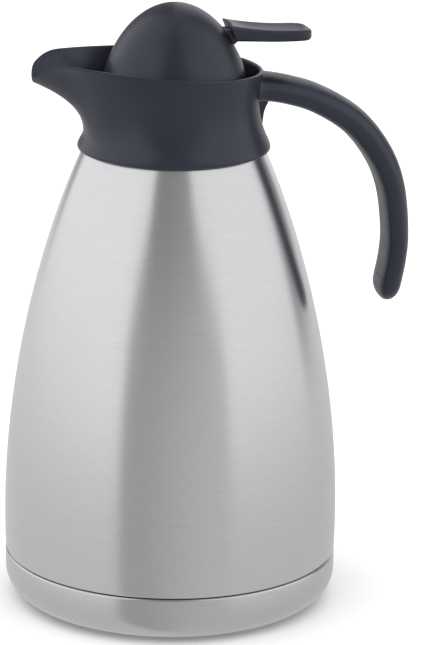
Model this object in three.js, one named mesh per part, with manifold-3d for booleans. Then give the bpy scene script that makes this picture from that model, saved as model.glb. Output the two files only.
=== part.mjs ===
// A two litre vacuum jug: a double-walled steel flask on a base cup, a plastic collar with a
// pouring lip and a handle, and a screw-in stopper whose thumb lever opens a valve.
// Millimetres, +Z up. The origin is the middle of the underside. The spout points to -X, the
// handle to +X, and the XZ plane is the plane of symmetry.
import * as THREE from 'three';
import { mergeVertices } from 'three/addons/utils/BufferGeometryUtils.js';
import Module from 'manifold-3d';

const wasm = await Module();
wasm.setup();

// ---- Driving dimensions ----------------------------------------------------------------------

const ROUND = 32; // sides of a large turned part
const SMALL_ROUND = 16; // sides of a small turned part
const GAP = 0.35; // clearance between neighbours

const BODY_R = 76.9; // flask's radius at the seam
const SEAM_Z = 22.4; // where the flask wall meets the base cup
const SHOULDER_R = 43.4; // flask's radius where the collar begins
const SHOULDER_Z = 208.5;
const STEEL = 0.8; // sheet thickness of flask, liner and base

const NECK_R = 35; // outer wall's neck
const NECK_TOP = 227.1;
const MOUTH_R = 29.1; // liner's neck, inside
const MOUTH_TOP = NECK_TOP + GAP + STEEL;

const LIP_Z = 211.8; // collar's lower edge
const WAIST_Z = 221;
const WAIST_R = 41.3;
const RIM_R = 40.3; // round part of the rim
const RIM_Z = 252.1; // rim height above the axis
const RIM_SLOPE = -0.072; // the rim rises towards the spout
const SPOUT_X = -65.3; // spout's tip
const NOTCH_DEPTH = 11; // the rim dips by this much at the tip
const NOTCH_HALF = 22; // half the width over which it dips
const RIM_WALL = 2.4;
const TROUGH_Z = 238.2; // floor of the trough round the lid
const THREAD_BORE = 32.2;

const THREAD_STARTS = 3;
const THREAD_LEAD = 36;
const THREAD_ANGLE = 200; // where the first stopper ridge starts, in degrees from +X
const THREAD_ARC = 45; // degrees covered by one ridge
const THREAD_Z = 231.6; // foot of each of the stopper's ridges
const THREAD_PLAY = 1.9; // collar ridge's height above a stopper ridge

const DOME_TOP = 279.9;
const DOME_R = 32.25;
const DOME_WALL = 2;
const SKIRT_Z = 243.7; // dome's lower edge

const PLUG_R = 27.8;
const PLUG_Z = 204;
const SEAT_R = 11;
const CHAMBER_R = 24.6;

const PIVOT_X = 17;
const PIVOT_Z = 260;
const PIN_R = 1.5;
const LEVER_HALF = 10; // half the thumb pad's width
const LEVER_TIP_X = 63;

const STEM_R = 2.5;
const HEAD_Z = 260.6; // underside of the stem's head

const HANDLE_WIDTH = 25;
const HANDLE_THICK = 11;
const HANDLE_WALL = 2.2;

// ---- Materials -------------------------------------------------------------------------------

const steel = { color: 0xb9b9bb, roughness: 0.32, metalness: 1 };
const charcoal = { color: 0x3a3c45, roughness: 0.55, metalness: 0 };
const silicone = { color: 0x8d9094, roughness: 0.7, metalness: 0 };
const blackRubber = { color: 0x26272a, roughness: 0.8, metalness: 0 };
const bright = { color: 0xc9cacc, roughness: 0.2, metalness: 1 };
const copper = { color: 0xb87350, roughness: 0.25, metalness: 1 };
const getterGrey = { color: 0x77787c, roughness: 0.6, metalness: 0.6 };
const sealGlass = { color: 0xa6b3ad, roughness: 0.15, metalness: 0 };

const jug = new THREE.Group();

// ---- Helpers ---------------------------------------------------------------------------------

const point = (x, y) => new THREE.Vector2(x, y);
const points = (list) => list.map(([x, y]) => point(x, y));
const mix = THREE.MathUtils.lerp;
const turn = THREE.MathUtils.degToRad;

function bezier(a, b, c, d, steps) {
  return new THREE.CubicBezierCurve(a, b, c, d).getPoints(steps);
}

// A closed three.js geometry as a solid, with its faces turned to point out.
function solid(geometry) {
  const bare = geometry.index ? geometry.toNonIndexed() : geometry.clone();
  bare.deleteAttribute('normal');
  bare.deleteAttribute('uv');
  const merged = mergeVertices(bare, 1e-4);
  const corners = Array.from(merged.index.array);
  const faces = [];
  for (let i = 0; i < corners.length; i += 3) {
    const [a, b, c] = corners.slice(i, i + 3);
    if (a !== b && b !== c && c !== a) faces.push(a, b, c);
  }
  const build = (triangles) => new wasm.Manifold(new wasm.Mesh({
    numProp: 3,
    vertProperties: merged.attributes.position.array,
    triVerts: new Uint32Array(triangles),
  }));
  const made = build(faces);
  return made.volume() > 0 ? made : build(faces.reverse());
}

function geometryOf(shape) {
  const mesh = shape.getMesh();
  const geometry = new THREE.BufferGeometry();
  geometry.setAttribute('position', new THREE.BufferAttribute(mesh.vertProperties, 3));
  geometry.setIndex(new THREE.BufferAttribute(mesh.triVerts, 1));
  geometry.computeVertexNormals();
  return geometry;
}

function add(name, shape, look) {
  const mesh = new THREE.Mesh(geometryOf(shape), new THREE.MeshStandardMaterial(look));
  mesh.name = name;
  jug.add(mesh);
}

// A turned part from its outline of radius and height. An outline clear of the axis is a ring.
function turned(outline, sides = ROUND) {
  const line = outline.map((p) => p.clone());
  if (line[0].x > 0) line.push(line[0].clone());
  return solid(new THREE.LatheGeometry(line, sides).rotateX(Math.PI / 2));
}

const turnedFrom = (list, sides) => turned(points(list), sides);

function disc(innerR, outerR, z0, z1, sides = ROUND) {
  return turnedFrom([[innerR, z0], [outerR, z0], [outerR, z1], [innerR, z1]], sides);
}

// The line moved sideways, to the left of its direction of travel.
function beside(line, distance) {
  return line.map((here, i) => {
    const before = line[Math.max(i - 1, 0)];
    const after = line[Math.min(i + 1, line.length - 1)];
    const along = after.clone().sub(before).normalize();
    const x = here.x === 0 ? 0 : here.x - along.y * distance;
    return point(x, here.y + along.x * distance);
  });
}

// Sheet of even thickness on the left of the line, turned round the axis.
function sheet(line, thickness, sides = ROUND) {
  return turned([...line, ...beside(line, thickness).reverse()], sides);
}

// A flat outline of x and z, between two values of y.
function slabY(outline, y0, y1) {
  const settings = { depth: y1 - y0, bevelEnabled: false, curveSegments: 8 };
  const shape = outline instanceof THREE.Shape ? outline : new THREE.Shape(points(outline));
  const geometry = new THREE.ExtrudeGeometry(shape, settings);
  return solid(geometry.rotateX(Math.PI / 2).translate(0, y1, 0));
}

// A flat outline of x and y, between two heights.
function slabZ(shape, z0, z1) {
  const settings = { depth: z1 - z0, bevelEnabled: false, curveSegments: 8 };
  return solid(new THREE.ExtrudeGeometry(shape, settings).translate(0, 0, z0));
}

function box(x0, x1, y0, y1, z0, z1) {
  const geometry = new THREE.BoxGeometry(x1 - x0, y1 - y0, z1 - z0);
  return solid(geometry.translate((x0 + x1) / 2, (y0 + y1) / 2, (z0 + z1) / 2));
}

function rodY(x, z, radius, y0, y1, sides = 14) {
  const geometry = new THREE.CylinderGeometry(radius, radius, y1 - y0, sides);
  return solid(geometry.translate(x, (y0 + y1) / 2, z));
}

// A rod between two points of the XZ plane.
function rodBetween(a, b, radius, sides = 14) {
  const along = b.clone().sub(a);
  const geometry = new THREE.CylinderGeometry(radius, radius, along.length(), sides);
  geometry.rotateZ(Math.PI / 2).rotateY(-Math.atan2(along.y, along.x));
  return solid(geometry.translate((a.x + b.x) / 2, 0, (a.y + b.y) / 2));
}

// A skin over rings that hold the same number of points, closed by a fan at each end.
function loft(rings) {
  const count = rings[0].length;
  const middle = (ring) => ring.reduce((sum, p) => sum.add(p), new THREE.Vector3())
    .divideScalar(count);
  const all = [...rings.flat(), middle(rings[0]), middle(rings.at(-1))];
  const first = rings.length * count;
  const faces = [];
  for (let i = 0; i < count; i++) {
    const next = (i + 1) % count;
    for (let ring = 0; ring < rings.length - 1; ring++) {
      const low = ring * count;
      const high = low + count;
      faces.push(low + i, low + next, high + next, low + i, high + next, high + i);
    }
    const top = (rings.length - 1) * count;
    faces.push(first, next, i, first + 1, top + i, top + next);
  }
  const geometry = new THREE.BufferGeometry().setFromPoints(all);
  geometry.setIndex(faces);
  return solid(geometry);
}

// ---- Flask: outer wall, liner and what lies between them ---------------------------------------

const bodyLine = bezier(
  point(BODY_R, SEAM_Z),
  point(80.3, 98),
  point(60.2, 169.5),
  point(SHOULDER_R, SHOULDER_Z),
  8,
);

function makeOuterShell() {
  const tuckR = BODY_R - 1.4;
  const tuckZ = 12;
  const shoulder = points([[40.6, 215], [39, 217.6], [35.6, 219.6]]);
  const bead = points([[NECK_R, 221], [NECK_R, 223.4], [NECK_R + 0.9, 224.4], [NECK_R, 225.4]]);
  const neck = [...shoulder, ...bead, point(NECK_R, NECK_TOP)];
  const outside = [point(tuckR, tuckZ), point(tuckR, SEAM_Z), ...bodyLine, ...neck];
  const tall = [...bodyLine.slice(1), ...shoulder, point(NECK_R, 221), point(NECK_R, NECK_TOP)];
  const inside = [
    point(tuckR - STEEL, tuckZ),
    point(tuckR - STEEL, SEAM_Z + 3),
    ...beside(tall, STEEL),
  ];
  return turned([...outside, ...inside.reverse()]);
}

const LINER_R = 70;
const linerLine = bezier(
  point(LINER_R, 40),
  point(LINER_R, 105),
  point(60, 147),
  point(34.5, 204),
  7,
);

function makeLiner() {
  const bottom = points([[0, 27.5], [54, 25], [64, 27], [68.6, 32.2]]);
  const neckR = MOUTH_R + STEEL;
  const neck = points([[31, 210], [neckR, 214.5], [neckR, NECK_TOP + GAP]]);
  const flange = point(NECK_R + 0.6, NECK_TOP + GAP);
  return sheet([...bottom, ...linerLine, ...neck, flange], STEEL);
}

function makeFoil() {
  const line = bezier(point(72, 44), point(72, 105), point(62, 148), point(39, 200), 5);
  return sheet(line, 0.4, 24);
}

function makeBottomDisc() {
  const line = points([[0, 16.5], [40, 15.2], [71, 12.8], [74.4, 14], [74.4, 18.5]]);
  return sheet(line, STEEL);
}

function makeEvacuationSeal() {
  return turnedFrom([[0, 13], [3.4, 13.6], [5, 15], [5.2, 16], [0, 16.1]], SMALL_ROUND);
}

function makeGetter() {
  const radius = 6;
  const height = 2.4;
  const geometry = new THREE.CylinderGeometry(radius, radius, height, SMALL_ROUND);
  return solid(geometry.rotateX(Math.PI / 2).translate(30, 0, 18));
}

add('outer_shell', makeOuterShell(), steel);
add('inner_liner', makeLiner(), steel);
add('radiation_foil', makeFoil(), copper);
add('vessel_bottom_disc', makeBottomDisc(), steel);
add('evacuation_seal', makeEvacuationSeal(), sealGlass);
add('getter_tablet', makeGetter(), getterGrey);

// ---- Base --------------------------------------------------------------------------------------

const CUP_R = 77;
const FOOT_Z = 0.4; // the cup stands this far clear of the surface, on the pad
const PAD_R = 54;
const PAD_RECESS = 2;
const CORNER = 13; // rounding between the cup's wall and its foot

function makeBaseCup() {
  const corner = new THREE.EllipseCurve(
    CUP_R - CORNER, FOOT_Z + CORNER, CORNER, CORNER, -Math.PI / 2, 0, false, 0,
  ).getPoints(4);
  const recess = points([[0, PAD_RECESS], [PAD_R + 1, PAD_RECESS], [PAD_R + 2.2, FOOT_Z]]);
  return sheet([...recess, ...corner, point(CUP_R, SEAM_Z - 0.4)], 0.9);
}

function makeBasePad() {
  return turnedFrom([[0, 0], [PAD_R - 0.8, 0], [PAD_R, 0.8], [PAD_R, 1.6], [0, 1.6]]);
}

add('base_cup', makeBaseCup(), steel);
add('base_pad', makeBasePad(), blackRubber);

// ---- Collar ------------------------------------------------------------------------------------

// One side of the spout in plan: from the round part of the rim to the nose, and the nose.
const spoutSide = new THREE.CubicBezierCurve(
  point(-8, 39.5),
  point(-28, 35.4),
  point(-48, 25),
  point(-62, 12),
);
const spoutNose = new THREE.CubicBezierCurve(
  point(-62, 12),
  point(-65, 9.2),
  point(SPOUT_X, 5),
  point(SPOUT_X, 0),
);

const bearingOf = (p) => Math.atan2(p.y, p.x);

// Where a ray from the axis crosses the rim's outside, in plan, for an angle from +X.
function rimPoint(angle) {
  const wanted = Math.abs(Math.atan2(Math.sin(angle), Math.cos(angle)));
  if (wanted <= bearingOf(spoutSide.getPoint(0))) {
    return point(RIM_R * Math.cos(wanted), RIM_R * Math.sin(wanted));
  }
  const curve = wanted < bearingOf(spoutNose.getPoint(0)) ? spoutSide : spoutNose;
  let low = 0;
  let high = 1;
  for (let i = 0; i < 30; i++) {
    const half = (low + high) / 2;
    if (bearingOf(curve.getPoint(half)) < wanted) low = half;
    else high = half;
  }
  return curve.getPoint(low);
}

function rimHeight(p) {
  const across = Math.min(1, p.y / NOTCH_HALF);
  const notch = p.x < 0 ? NOTCH_DEPTH * (1 - across ** 2) ** 3 : 0;
  return RIM_Z + RIM_SLOPE * p.x - notch;
}

// The collar wall at one angle, as radius and height from the waist up to the rim.
function wallCurve(angle) {
  const rim = rimPoint(angle);
  const radius = rim.length();
  const height = rimHeight(rim);
  const flare = (radius - RIM_R) / (-SPOUT_X - RIM_R);
  return new THREE.CubicBezierCurve(
    point(WAIST_R, WAIST_Z),
    point(mix(37.6, 41.6, flare), 231.3),
    point(mix(38.4, 50, flare), height - mix(11, 7, flare)),
    point(radius, height),
  );
}

const at = (angle, p) => new THREE.Vector3(p.x * Math.cos(angle), p.x * Math.sin(angle), p.y);

// Angles round the collar, closer together towards the spout.
const collarAngles = Array.from({ length: ROUND }, (_, i) => {
  const even = (2 * Math.PI * i) / ROUND;
  return even - 0.28 * Math.sin(2 * even) * (Math.cos(even) < 0 ? 1 : 0);
});

// Rings of the collar's wall, moved inwards by inset along the wall's own normal.
function wallRings(inset, steps) {
  return Array.from({ length: steps + 1 }, (_, k) => collarAngles.map((angle) => {
    const curve = wallCurve(angle);
    const here = curve.getPoint(k / steps);
    const along = curve.getTangent(k / steps);
    return at(angle, point(here.x - along.y * inset, here.y + along.x * inset));
  }));
}

function thread(baseR, crestR, z0, firstAngle) {
  const foot = 1.1; // half the ridge's height at its base
  const crest = 0.5;
  const steps = 5;
  const rings = Array.from({ length: steps + 1 }, (_, i) => {
    const share = i / steps;
    const angle = turn(firstAngle + THREAD_ARC * share);
    const z = z0 + (THREAD_LEAD * THREAD_ARC * share) / 360;
    return [[baseR, -foot], [crestR, -crest], [crestR, crest], [baseR, foot]]
      .map(([r, dz]) => at(angle, point(r, z + dz)));
  });
  return loft(rings);
}

// Three ridges of a fast right-handed thread.
function threads(baseR, crestR, z0, firstAngle) {
  const step = 360 / THREAD_STARTS;
  return Array.from({ length: THREAD_STARTS }, (_, i) => (
    thread(baseR, crestR, z0, firstAngle + i * step)
  ));
}

// ---- Handle line, used by the collar's tongue too ------------------------------------------------

const handleCurve = new THREE.CatmullRomCurve3([
  [38, 241.7], [44, 240.9], [53, 239], [66, 234.7], [84.5, 223.3], [97.1, 207.4],
  [103.2, 191.8], [105.7, 168], [104.3, 156.3], [101.9, 141],
].map(([x, z]) => new THREE.Vector3(x, 0, z)), false, 'centripetal');

// A place on the handle: out is the distance outwards from its middle line, y the distance across.
function onHandle(share, out, y) {
  const middle = handleCurve.getPointAt(share);
  const along = handleCurve.getTangentAt(share);
  return new THREE.Vector3(middle.x - along.z * out, y, middle.z + along.x * out);
}

const handleFlat = (share, out) => {
  const p = onHandle(share, out, 0);
  return point(p.x, p.z);
};

// A bar along the handle. Its section at a share of the length is a list of out and y.
function alongHandle(sectionAt, from, to, steps) {
  return loft(Array.from({ length: steps + 1 }, (_, i) => {
    const share = mix(from, to, i / steps);
    return sectionAt(share).map(([out, y]) => onHandle(share, out, y));
  }));
}

// A bar along the handle with a constant four-sided section.
function barOnHandle(out0, out1, halfWidth, from, to, steps) {
  const corners = [[out1, -halfWidth], [out1, halfWidth], [out0, halfWidth], [out0, -halfWidth]];
  return alongHandle(() => corners, from, to, steps);
}

const TONGUE_END = 0.19; // shares of the handle's length
const SCREW_SHARE = 0.135;
const SCREW_OUT = -5.6; // outside of the screw's head, from the middle line
const SHANK_R = 1.4;
const HEAD_R = 2.6;

function makeCollar() {
  const lip = points([[42.9, LIP_Z], [43.8, 212.5], [44, 213.8], [43.2, 216.2], [42, 218.9]]);
  const skirt = lip.map((p) => collarAngles.map((angle) => at(angle, p)));
  const outside = loft([...skirt, ...wallRings(0, 5)]);
  const above = wallRings(RIM_WALL, 5);
  const lifted = above.at(-1).map((p) => p.clone().setZ(p.z + 12));
  const trough = loft([...above, lifted]).intersect(box(-80, 50, -50, 50, TROUGH_Z, 290));
  const pocket = turnedFrom([
    [0, 200], [48, 200], [42.8, LIP_Z], [41.4, 215.2], [40.2, 217.7], [38.4, 219.4],
    [37.7, 220.9], [37.7, 223.9], [36.3, 224.1], [36.3, 230.6], [THREAD_BORE, 230.6],
    [THREAD_BORE, TROUGH_Z + 1], [0, TROUGH_Z + 1],
  ]);
  const tongue = barOnHandle(-2.4, 2.7, 6, 0, TONGUE_END, 5);
  const web = slabY([
    [37.5, 222], [40.8, 223], [41.4, 228.1], [42.3, 230.8], [43.4, 232.9], [43.8, 234], [37.5, 234],
  ], -3, 3);
  const pilot = rodBetween(
    handleFlat(SCREW_SHARE, -6), handleFlat(SCREW_SHARE, 1.9), SHANK_R + GAP,
  );
  const rear = tongue.add(web).subtract(disc(0, 37.9, 215, 250));
  let collar = outside.subtract(trough).subtract(pocket).add(rear).subtract(pilot);
  const lead = 12; // degrees by which the collar ridges start ahead of the stopper ridges
  const base = THREAD_BORE + 0.3;
  const foot = THREAD_Z + THREAD_PLAY - (THREAD_LEAD * lead) / 360;
  for (const ridge of threads(base, THREAD_BORE - 1.2, foot, THREAD_ANGLE - lead)) {
    collar = collar.add(ridge);
  }
  return collar;
}

function makeSnapRing() {
  const radius = 36.4;
  const z = 222.4;
  const path = new THREE.CatmullRomCurve3(Array.from({ length: 23 }, (_, i) => {
    const angle = turn(15 + 15 * i);
    return new THREE.Vector3(radius * Math.cos(angle), radius * Math.sin(angle), z);
  }));
  const wire = new THREE.Shape().absarc(0, 0, 0.7, 0, 2 * Math.PI);
  const settings = { steps: 24, extrudePath: path, curveSegments: 3 };
  return solid(new THREE.ExtrudeGeometry(wire, settings));
}

add('collar', makeCollar(), charcoal);
add('collar_gasket', disc(31.3, 35.2, MOUTH_TOP + GAP, 230.2), silicone);
add('collar_snap_ring', makeSnapRing(), bright);

// ---- Handle ------------------------------------------------------------------------------------

const TIP_ROUND = 8.7; // length over which the tip rounds off
const MOUTH_HALF = HANDLE_WIDTH / 2 - HANDLE_WALL - 0.4; // half the channel's width
const HOLLOW_END = 0.955;

// Distance from the middle line in to the inner face: the grip is fullest at its bend.
function innerFace(share) {
  const bend = Math.cos(THREE.MathUtils.clamp((share - 0.4) / 0.6, -0.5, 0.5) * Math.PI) ** 2;
  return 6.5 + 0.7 * bend - 1.2 * THREE.MathUtils.smoothstep(share, 0.5, 0.9);
}

// Half of the section from the inner face round to the back, as out and share of the width.
function handleSection(share) {
  const inner = innerFace(share);
  const half = [[-inner, 0.38], [0.8 - inner, 0.48], [-1.1, 0.5], [2.6, 0.42], [4.8, 0.22]];
  const width = mix(HANDLE_WIDTH, HANDLE_WIDTH - 2.5, share);
  const side = (sign) => half.map(([out, y]) => [out, sign * y * width]);
  return [...side(1), ...side(-1).reverse()];
}

function makeHandleShell() {
  const steps = 16;
  const length = handleCurve.getLength();
  const tipStart = 1.034 - TIP_ROUND / length;
  const ring = (share, scale) => {
    const past = Math.max(0, share - 1) * length;
    const along = handleCurve.getTangentAt(1);
    return handleSection(Math.min(share, 1)).map(([out, y]) => (
      onHandle(Math.min(share, 1), out * scale, y * scale).addScaledVector(along, past)
    ));
  };
  const rings = Array.from({ length: steps }, (_, i) => ring((tipStart * i) / steps, 1));
  for (const done of [0, 0.35, 0.6, 0.8, 0.95]) {
    rings.push(ring(tipStart + (done * TIP_ROUND) / length, Math.sqrt(1 - done * done)));
  }
  const roof = HANDLE_THICK / 2 - HANDLE_WALL;
  const channel = [[roof, MOUTH_HALF - 2], [roof, 2 - MOUTH_HALF], [1.5, -MOUTH_HALF],
    [-9, -MOUTH_HALF], [-9, MOUTH_HALF], [1.5, MOUTH_HALF]];
  const hollow = alongHandle(() => channel, 0, HOLLOW_END, 14);
  const slot = barOnHandle(-4.25, -1.9, 5 + GAP, HOLLOW_END - 0.02, 0.985, 3);
  const collarSide = disc(0, RIM_R + 0.6, 215, 262);
  return loft(rings).subtract(hollow).subtract(slot).subtract(collarSide);
}

// The channel's cover: a tab at its end hooks into the grip's tip and a screw holds its root.
function makeHandleCover() {
  const half = MOUTH_HALF - GAP;
  const section = (share) => {
    const outer = 0.3 - innerFace(share);
    const inner = outer + 1.8;
    return [[inner, half], [inner, -half], [outer + 0.5, -half], [outer, 0.6 - half],
      [outer, half - 0.6], [outer + 0.5, half]];
  };
  const tab = barOnHandle(-3.9, -2.25, 5, 0.93, 0.98, 3);
  const cover = alongHandle(section, 0.02, HOLLOW_END - 0.004, 16).add(tab);
  const sink = rodBetween(
    handleFlat(SCREW_SHARE, -12), handleFlat(SCREW_SHARE, SCREW_OUT + 0.8), HEAD_R + GAP,
  );
  const hole = rodBetween(handleFlat(SCREW_SHARE, -12), handleFlat(SCREW_SHARE, 0), SHANK_R + GAP);
  return cover.subtract(sink).subtract(hole).subtract(disc(0, 44.6, 215, 262));
}

function makeHandleScrew() {
  const head = rodBetween(
    handleFlat(SCREW_SHARE, SCREW_OUT), handleFlat(SCREW_SHARE, SCREW_OUT + 0.75), HEAD_R,
  );
  const shank = rodBetween(
    handleFlat(SCREW_SHARE, SCREW_OUT + 0.3), handleFlat(SCREW_SHARE, 1.4), SHANK_R,
  );
  const recess = rodBetween(
    handleFlat(SCREW_SHARE, SCREW_OUT - 1), handleFlat(SCREW_SHARE, SCREW_OUT + 0.4), 1.2, 6,
  );
  return head.add(shank).subtract(recess);
}

add('handle_shell', makeHandleShell(), charcoal);
add('handle_cover', makeHandleCover(), charcoal);
add('handle_screw', makeHandleScrew(), bright);

// ---- Lid: dome, bulkhead and threaded stopper ----------------------------------------------------

const domeLine = bezier(
  point(0, DOME_TOP),
  point(14.6, DOME_TOP),
  point(27.4, 265.7),
  point(DOME_R, 247.5),
  7,
);

function makeDome() {
  const line = [...domeLine, point(DOME_R, SKIRT_Z)];
  const slot = box(14, 40, -6, 6, 256.5, 268.3);
  return sheet(line, -DOME_WALL).subtract(slot);
}

const INSERT_Z = 243.9;

function makeLidInsert() {
  const plate = turnedFrom([
    [STEM_R + 0.4, INSERT_Z], [29.8, INSERT_Z], [29.8, 246.2], [8, 246.2], [8, 249],
    [4.7, 249], [4.7, 245.4], [STEM_R + 0.4, 245.4],
  ], 32);
  const ear = [[12.8, 245.9], [21.2, 245.9], [19.6, 262.6], [14.4, 262.6]];
  const ears = slabY(ear, 5.8, 7.8).add(slabY(ear, -7.8, -5.8));
  return plate.add(ears).subtract(rodY(PIVOT_X, PIVOT_Z, PIN_R + GAP, -12, 12));
}

function makeStopper() {
  const top = INSERT_Z - 0.4;
  const flangeR = 30.6;
  const windowZ = TROUGH_Z + 0.7;
  let stopper = turnedFrom([
    [SEAT_R, PLUG_Z], [26.6, PLUG_Z], [PLUG_R, 205.4], [PLUG_R, 208.6], [26.5, 208.8],
    [26.5, 213.2], [PLUG_R, 213.4], [PLUG_R, 228.7], [flangeR, 228.8], [flangeR, TROUGH_Z],
    [30, TROUGH_Z + 0.3], [30, top], [27.8, top], [27.8, 237.5], [CHAMBER_R, 235],
    [CHAMBER_R, 206.2], [SEAT_R, 206.2],
  ]);
  for (const bearing of [-32, 0, 32, 180]) {
    const wide = bearing === 180 ? 3 : 5.6;
    const opening = box(-36, -22, -wide, wide, windowZ, top - 0.6);
    stopper = stopper.subtract(opening.rotate([0, 0, bearing]));
  }
  for (const ridge of threads(flangeR - 0.3, flangeR + 1.2, THREAD_Z, THREAD_ANGLE)) {
    stopper = stopper.add(ridge);
  }
  return stopper;
}

add('lid_dome', makeDome(), charcoal);
add('lid_insert', makeLidInsert(), charcoal);
add('stopper_body', makeStopper(), charcoal);
add('stopper_gasket', disc(26.9, 28.75, 209.2, 212.8), silicone);
add('stem_oring', disc(STEM_R + 0.3, 4.4, 245.7, 247.4, SMALL_ROUND), blackRubber);
add('lever_pin', rodY(PIVOT_X, PIVOT_Z, PIN_R, -8.6, 8.6), bright);

// ---- Lever ---------------------------------------------------------------------------------------

function makeLever() {
  const pad = slabY([
    [21, 271], [24, 270.3], [28, 269.5], [36, 268.3], [44, 267.5], [51, 267.2], [57, 267.1],
    [61, 266.8], [LEVER_TIP_X, 265.8], [LEVER_TIP_X, 263.2], [61.6, 262.3], [56, 262.1],
    [46, 262.1], [36, 262.5], [28, 262.9], [21, 263.3],
  ], -LEVER_HALF, LEVER_HALF);
  const plan = new THREE.Shape();
  plan.moveTo(18, -LEVER_HALF);
  plan.lineTo(54, -LEVER_HALF);
  plan.bezierCurveTo(60.5, -LEVER_HALF, LEVER_TIP_X, -7, LEVER_TIP_X, 0);
  plan.bezierCurveTo(LEVER_TIP_X, 7, 60.5, LEVER_HALF, 54, LEVER_HALF);
  plan.lineTo(18, LEVER_HALF);
  const domeSide = turnedFrom([[0, 250], [33.2, 250], [25.1, 272], [0, 272]]);
  const neck = slabY([[15.5, 263.8], [22.4, 267.6], [30, 268.2], [30, 263], [24.6, 258.8],
    [19, 256.3]], -4.6, 4.6);
  const tine = [[-2, 257.6], [-2, 259.6], [-1.4, 260.2], [7, 260.2], [14, 262.6], [15, 257]];
  const fork = slabY(tine, 3.3, 5.1).add(slabY(tine, -5.1, -3.3));
  const hub = rodY(PIVOT_X, PIVOT_Z, 4.2, -5.2, 5.2, 20);
  return pad.intersect(slabZ(plan, 255, 275)).subtract(domeSide)
    .add(neck).add(fork).add(hub)
    .subtract(rodY(PIVOT_X, PIVOT_Z, PIN_R + GAP, -9, 9));
}

add('thumb_lever', makeLever(), charcoal);

// ---- Valve ---------------------------------------------------------------------------------------

const PLATE_Z = 207.2;
const CLIP_Z = 209.3;

function makeStem() {
  return turnedFrom([
    [0, 205.6], [4.6, 205.6], [5, 206], [5, PLATE_Z - GAP], [STEM_R, PLATE_Z - GAP],
    [STEM_R, CLIP_Z - 0.1], [STEM_R - 0.6, CLIP_Z - 0.1], [STEM_R - 0.6, CLIP_Z + 0.9],
    [STEM_R, CLIP_Z + 0.9], [STEM_R, HEAD_Z], [5.6, HEAD_Z], [5.6, 262], [4.8, 262.6], [0, 262.6],
  ], SMALL_ROUND);
}

// An open clip that slides into the stem's groove from the side.
function makeClip() {
  const ring = disc(STEM_R - 0.25, 4.8, CLIP_Z + 0.1, CLIP_Z + 0.75, SMALL_ROUND);
  return ring.subtract(box(0, 8, -1.7, 1.7, CLIP_Z - 2, CLIP_Z + 2));
}

function makeSpring() {
  const wire = 0.5;
  const coilR = 4.4;
  const low = CLIP_Z + 1.3 + wire;
  const high = INSERT_Z - 0.3 - wire;
  const turns = 5;
  const sides = 9;
  const count = turns * sides;
  const path = new THREE.CatmullRomCurve3(Array.from({ length: count + 1 }, (_, i) => {
    const angle = (2 * Math.PI * i) / sides;
    const z = mix(low, high, i / count);
    return new THREE.Vector3(coilR * Math.cos(angle), coilR * Math.sin(angle), z);
  }));
  const section = new THREE.Shape().absarc(0, 0, wire, 0, 2 * Math.PI);
  const settings = { steps: count, extrudePath: path, curveSegments: 3 };
  return solid(new THREE.ExtrudeGeometry(section, settings));
}

add('valve_stem', makeStem(), bright);
add('valve_plate', disc(STEM_R + GAP, 13.2, PLATE_Z, PLATE_Z + 1.7, 32), charcoal);
add('valve_seal', disc(9.6, 13, 206.4, PLATE_Z - 0.25, 32), silicone);
add('stem_clip', makeClip(), bright);
add('return_spring', makeSpring(), bright);

export default jug;
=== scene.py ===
"""The looks of a two litre vacuum jug: a brushed steel flask with a charcoal plastic collar,
handle, domed stopper and thumb lever. Outlines are in millimetres and meshes in metres."""

import math

import bpy
from mathutils import Matrix, Vector


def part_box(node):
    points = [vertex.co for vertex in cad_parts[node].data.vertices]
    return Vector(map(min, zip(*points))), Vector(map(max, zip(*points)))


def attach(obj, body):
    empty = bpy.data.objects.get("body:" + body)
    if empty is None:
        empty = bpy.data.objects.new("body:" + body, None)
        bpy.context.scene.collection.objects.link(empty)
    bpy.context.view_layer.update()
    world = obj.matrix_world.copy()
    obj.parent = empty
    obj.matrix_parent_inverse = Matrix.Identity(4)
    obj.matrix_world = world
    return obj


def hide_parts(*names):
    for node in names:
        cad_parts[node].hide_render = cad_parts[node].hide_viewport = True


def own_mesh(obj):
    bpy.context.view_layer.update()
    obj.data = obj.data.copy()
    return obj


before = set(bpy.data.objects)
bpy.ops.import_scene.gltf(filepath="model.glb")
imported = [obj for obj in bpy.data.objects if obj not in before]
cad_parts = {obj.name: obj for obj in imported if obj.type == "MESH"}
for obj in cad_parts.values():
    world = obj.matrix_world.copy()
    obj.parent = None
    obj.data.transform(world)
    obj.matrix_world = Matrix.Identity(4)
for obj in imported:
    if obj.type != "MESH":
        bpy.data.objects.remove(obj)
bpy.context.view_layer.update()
MM = 0.001

# ---- Driving dimensions, millimetres ----


def corner(node, which):
    """The lowest (0) or highest (1) corner of a CAD node's box, in millimetres."""
    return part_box(node)[which] / MM


BODY_R = 76.9  # flask's radius at the seam
SEAM_Z = 22.4
CUP_R = corner("base_cup", 1).x
CUP_TOP = corner("base_cup", 1).z
FOOT_Z = corner("base_cup", 0).z
PAD_R = corner("base_pad", 1).x
TUCK_R = 75.5  # the flask's hem, inside the base cup
HEM_Z = 12  # the hem's lower edge
SHOULDER = (43.4, 208.5)  # radius and height where the flask's long curve ends
STEEL = 0.8  # sheet thickness
NECK_R = 35
NECK_FOOT = 221
NECK_TOP = 227.1
MOUTH_R = 29.1  # inside of the liner's throat

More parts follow.
